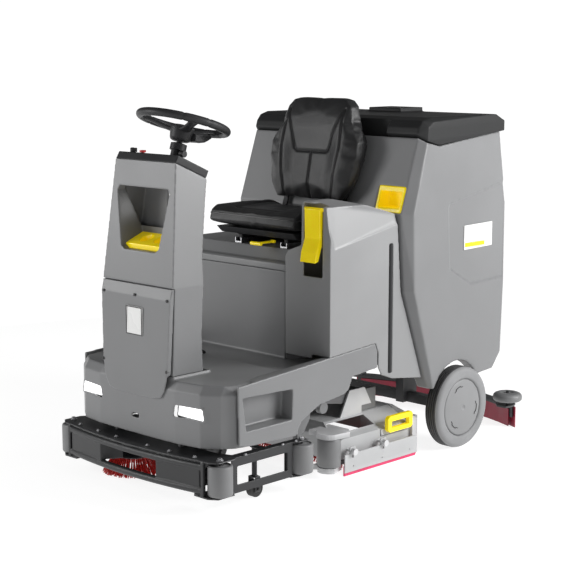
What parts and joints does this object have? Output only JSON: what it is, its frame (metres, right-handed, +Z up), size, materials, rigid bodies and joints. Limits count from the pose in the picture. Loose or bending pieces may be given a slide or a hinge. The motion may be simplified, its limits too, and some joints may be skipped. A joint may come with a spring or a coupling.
{
  "type": "ride-on scrubber dryer",
  "caption": "Ride-on floor scrubber dryer with a driver's seat, steering column, rear tank, side-loading brush deck, front bumper with rollers and rear squeegee.",
  "frame": {"origin": "on the floor, under the middle of the machine's bounding box", "axes": "+Z up, -Y forwards, +X to the machine's left"},
  "size_m": [1.036, 1.9202, 1.45],
  "materials": {
    "body_plastic": "fine-textured moulded plastic",
    "cover_plastic": "fine-textured moulded plastic",
    "dark_plastic": "satin black moulding",
    "grey_roller": "smooth rigid plastic",
    "yellow_plastic": "bright yellow moulding",
    "red_plastic": "glossy red button",
    "black_steel": "black powder coat",
    "light_steel": "light grey powder coat",
    "zinc_steel": "zinc plated",
    "black_screw": "black oxide",
    "plate": "plain white plate",
    "battery_case": "battery case",
    "seat_vinyl": "grained black vinyl",
    "tread_rubber": "dark ribbed tread with a grey wall",
    "wheel_hub": "grey wheel disc",
    "wheel_rubber": "black rubber",
    "bristle": "red nylon bristle",
    "red_rubber": "oil-resistant red lip",
    "lens": "white diffuser lens"
  },
  "bodies": {
    "machine": {"chassis_frame": "black_steel", "batteries": "battery_case", "body_shell": "body_plastic", "console_shell": "body_plastic", "lower_cover": "body_plastic", "console_cap": "dark_plastic", "headlight_lenses": "lens", "cover_screws": "black_screw", "badge_plates": "plate", "storage_insert": "yellow_plastic", "side_cover": "cover_plastic", "level_tube": "dark_plastic", "tank": "cover_plastic", "hand_pocket": "yellow_plastic", "bumper_frame": "black_steel", "deck_guard": "grey_roller", "steering_column": "dark_plastic"},
    "battery_cover": {"battery_cover": "body_plastic", "seat_rails": "zinc_steel"},
    "seat": {"seat_pan": "dark_plastic", "seat_cushion": "seat_vinyl", "seat_back": "seat_vinyl"},
    "slide_lever": {"slide_lever": "yellow_plastic"},
    "tank_lid": {"tank_lid": "dark_plastic"},
    "steering_wheel": {"steering_wheel": "dark_plastic"},
    "steer_fork": {"steer_fork": "black_steel"},
    "drive_wheel": {"drive_wheel": "wheel_rubber"},
    "rear_wheel_left": {"tyre_left": "tread_rubber", "hub_left": "wheel_hub"},
    "rear_wheel_right": {"tyre_right": "tread_rubber", "hub_right": "wheel_hub"},
    "bumper_roller_front_left": {"bumper_roller_front_left": "grey_roller"},
    "bumper_roller_front_right": {"bumper_roller_front_right": "grey_roller"},
    "bumper_roller_rear_left": {"bumper_roller_rear_left": "grey_roller"},
    "bumper_roller_rear_right": {"bumper_roller_rear_right": "grey_roller"},
    "caster_left": {"caster_left": "wheel_rubber"},
    "caster_right": {"caster_right": "wheel_rubber"},
    "selector_knob": {"selector_knob": "dark_plastic"},
    "stop_button": {"stop_button": "red_plastic"},
    "accelerator_pedal": {"accelerator_pedal": "dark_plastic"},
    "squeegee_lever": {"squeegee_lever": "yellow_plastic"},
    "side_brush_arm": {"side_brush_arm": "black_steel"},
    "side_brush": {"side_brush": "bristle"},
    "deck_arms": {"deck_arms": "black_steel"},
    "deck": {"deck_frame": "light_steel", "brush_motors": "grey_roller"},
    "brush_front": {"brush_front": "bristle"},
    "brush_rear": {"brush_rear": "bristle"},
    "debris_drawer": {"debris_drawer": "light_steel", "drawer_handle": "yellow_plastic"},
    "side_skirt_left": {"side_skirt_left": "light_steel", "side_lip_left": "red_rubber"},
    "side_skirt_right": {"side_skirt_right": "light_steel", "side_lip_right": "red_rubber"},
    "deck_roller_left": {"deck_roller_left": "grey_roller"},
    "squeegee_arm": {"squeegee_arm": "black_steel"},
    "squeegee": {"squeegee_body": "black_steel", "squeegee_blades": "red_rubber"},
    "squeegee_roller_left": {"squeegee_roller_left": "grey_roller"},
    "squeegee_roller_right": {"squeegee_roller_right": "grey_roller"}
  },
  "joints": [
    {"name": "seat_tilt", "type": "hinge", "parent": "machine", "child": "battery_cover", "pos_m": [-0.432, -0.1116, 0.8], "axis": [0, -1, 0], "range_deg": [0, 60]},
    {"name": "seat_slide", "type": "slide", "parent": "battery_cover", "child": "seat", "axis": [0, -1, 0], "range_m": [0, 0.09]},
    {"name": "slide_lever_lift", "type": "hinge", "parent": "seat", "child": "slide_lever", "pos_m": [0.05, -0.2316, 0.884], "axis": [-1, 0, 0], "range_deg": [0, 7], "stiffness_Nm_per_rad": 0.5, "springref_deg": -17.19},
    {"name": "lid_open", "type": "hinge", "parent": "machine", "child": "tank_lid", "pos_m": [0, 0.7524, 1.322], "axis": [-1, 0, 0], "range_deg": [0, 75]},
    {"name": "steering_wheel_turn", "type": "hinge", "parent": "machine", "child": "steering_wheel", "pos_m": [0, -0.6566, 1.345], "axis": [0, 0.2924, 0.9563], "range_deg": [-270, 270]},
    {"name": "fork_steer", "type": "hinge", "parent": "machine", "child": "steer_fork", "pos_m": [0, -0.5816, 0.3], "axis": [0, 0, 1], "range_deg": [-90, 90]},
    {"name": "drive_wheel_roll", "type": "hinge", "parent": "steer_fork", "child": "drive_wheel", "pos_m": [0, -0.5816, 0.12], "axis": [1, 0, 0], "continuous": true},
    {"name": "rear_left_roll", "type": "hinge", "parent": "machine", "child": "rear_wheel_left", "pos_m": [0.461, 0.4334, 0.17], "axis": [1, 0, 0], "continuous": true},
    {"name": "rear_right_roll", "type": "hinge", "parent": "machine", "child": "rear_wheel_right", "pos_m": [-0.461, 0.4334, 0.17], "axis": [1, 0, 0], "continuous": true},
    {"name": "bumper_roller_front_left_turn", "type": "hinge", "parent": "machine", "child": "bumper_roller_front_left", "pos_m": [0.422, -0.8716, 0.12], "axis": [0, 0, 1], "continuous": true},
    {"name": "bumper_roller_front_right_turn", "type": "hinge", "parent": "machine", "child": "bumper_roller_front_right", "pos_m": [-0.422, -0.8716, 0.12], "axis": [0, 0, 1], "continuous": true},
    {"name": "bumper_roller_rear_left_turn", "type": "hinge", "parent": "machine", "child": "bumper_roller_rear_left", "pos_m": [0.424, -0.4596, 0.12], "axis": [0, 0, 1], "continuous": true},
    {"name": "bumper_roller_rear_right_turn", "type": "hinge", "parent": "machine", "child": "bumper_roller_rear_right", "pos_m": [-0.424, -0.4596, 0.12], "axis": [0, 0, 1], "continuous": true},
    {"name": "caster_left_roll", "type": "hinge", "parent": "machine", "child": "caster_left", "pos_m": [0.362, -0.6436, 0.032], "axis": [1, 0, 0], "continuous": true},
    {"name": "caster_right_roll", "type": "hinge", "parent": "machine", "child": "caster_right", "pos_m": [-0.362, -0.6436, 0.032], "axis": [1, 0, 0], "continuous": true},
    {"name": "selector_turn", "type": "hinge", "parent": "machine", "child": "selector_knob", "pos_m": [-0.112, -0.7996, 1.25], "axis": [0, 0, 1], "range_deg": [-135, 135]},
    {"name": "stop_button_press", "type": "slide", "parent": "machine", "child": "stop_button", "axis": [0, 0, -1], "range_m": [0, 0.003], "stiffness_N_per_m": 600, "springref_m": -0.003},
    {"name": "pedal_press", "type": "hinge", "parent": "machine", "child": "accelerator_pedal", "pos_m": [-0.11, -0.4916, 0.458], "axis": [1, 0, 0], "range_deg": [0, 15], "stiffness_Nm_per_rad": 6, "springref_deg": -14.32},
    {"name": "squeegee_lever_swing", "type": "hinge", "parent": "machine", "child": "squeegee_lever", "pos_m": [0.35, -0.3066, 1.04], "axis": [-1, 0, 0], "range_deg": [0, 40]},
    {"name": "side_brush_lift", "type": "hinge", "parent": "machine", "child": "side_brush_arm", "pos_m": [-0.235, -0.8316, 0.214], "axis": [1, 0, 0], "range_deg": [0, 6]},
    {"name": "side_brush_spin", "type": "hinge", "parent": "side_brush_arm", "child": "side_brush", "pos_m": [-0.225, -0.7316, 0.07], "axis": [0, 0, 1], "continuous": true},
    {"name": "deck_lift", "type": "hinge", "parent": "machine", "child": "deck_arms", "pos_m": [0, -0.3266, 0.31], "axis": [1, 0, 0], "range_deg": [0, 12]},
    {"name": "deck_level", "type": "hinge", "parent": "deck_arms", "child": "deck", "pos_m": [0, -0.0316, 0.255], "axis": [1, 0, 0], "range_deg": [-12, 0]},
    {"name": "brush_front_spin", "type": "hinge", "parent": "deck", "child": "brush_front", "pos_m": [0, -0.1466, 0.0563], "axis": [1, 0, 0], "continuous": true},
    {"name": "brush_rear_spin", "type": "hinge", "parent": "deck", "child": "brush_rear", "pos_m": [0, -0.0266, 0.0563], "axis": [1, 0, 0], "continuous": true},
    {"name": "drawer_pull", "type": "slide", "parent": "deck", "child": "debris_drawer", "axis": [1, 0, 0], "range_m": [0, 0.45]},
    {"name": "skirt_left_float", "type": "slide", "parent": "deck", "child": "side_skirt_left", "axis": [0, 0, 1], "range_m": [0, 0.02]},
    {"name": "skirt_right_float", "type": "slide", "parent": "deck", "child": "side_skirt_right", "axis": [0, 0, 1], "range_m": [0, 0.02]},
    {"name": "deck_roller_turn", "type": "hinge", "parent": "deck", "child": "deck_roller_left", "pos_m": [0.382, -0.2596, 0.098], "axis": [0, 0, 1], "continuous": true},
    {"name": "squeegee_lift", "type": "hinge", "parent": "machine", "child": "squeegee_arm", "pos_m": [0, 0.5884, 0.25], "axis": [1, 0, 0], "range_deg": [0, 14]},
    {"name": "squeegee_swing", "type": "hinge", "parent": "squeegee_arm", "child": "squeegee", "pos_m": [0, 0.8784, 0.17], "axis": [0, 0, 1], "range_deg": [-12, 12]},
    {"name": "squeegee_roller_left_turn", "type": "hinge", "parent": "squeegee", "child": "squeegee_roller_left", "pos_m": [0.455, 0.8004, 0.147], "axis": [0, 0, 1], "continuous": true},
    {"name": "squeegee_roller_right_turn", "type": "hinge", "parent": "squeegee", "child": "squeegee_roller_right", "pos_m": [-0.455, 0.8004, 0.147], "axis": [0, 0, 1], "continuous": true}
  ],
  "couplings": [
    {"joint": "steering_wheel_turn", "follows": "fork_steer", "ratio": 3},
    {"joint": "deck_level", "follows": "deck_lift", "ratio": -1},
    {"joint": "brush_rear_spin", "follows": "brush_front_spin", "ratio": -1},
    {"joint": "squeegee_lever_swing", "follows": "squeegee_lift", "ratio": 2.85}
  ]
}
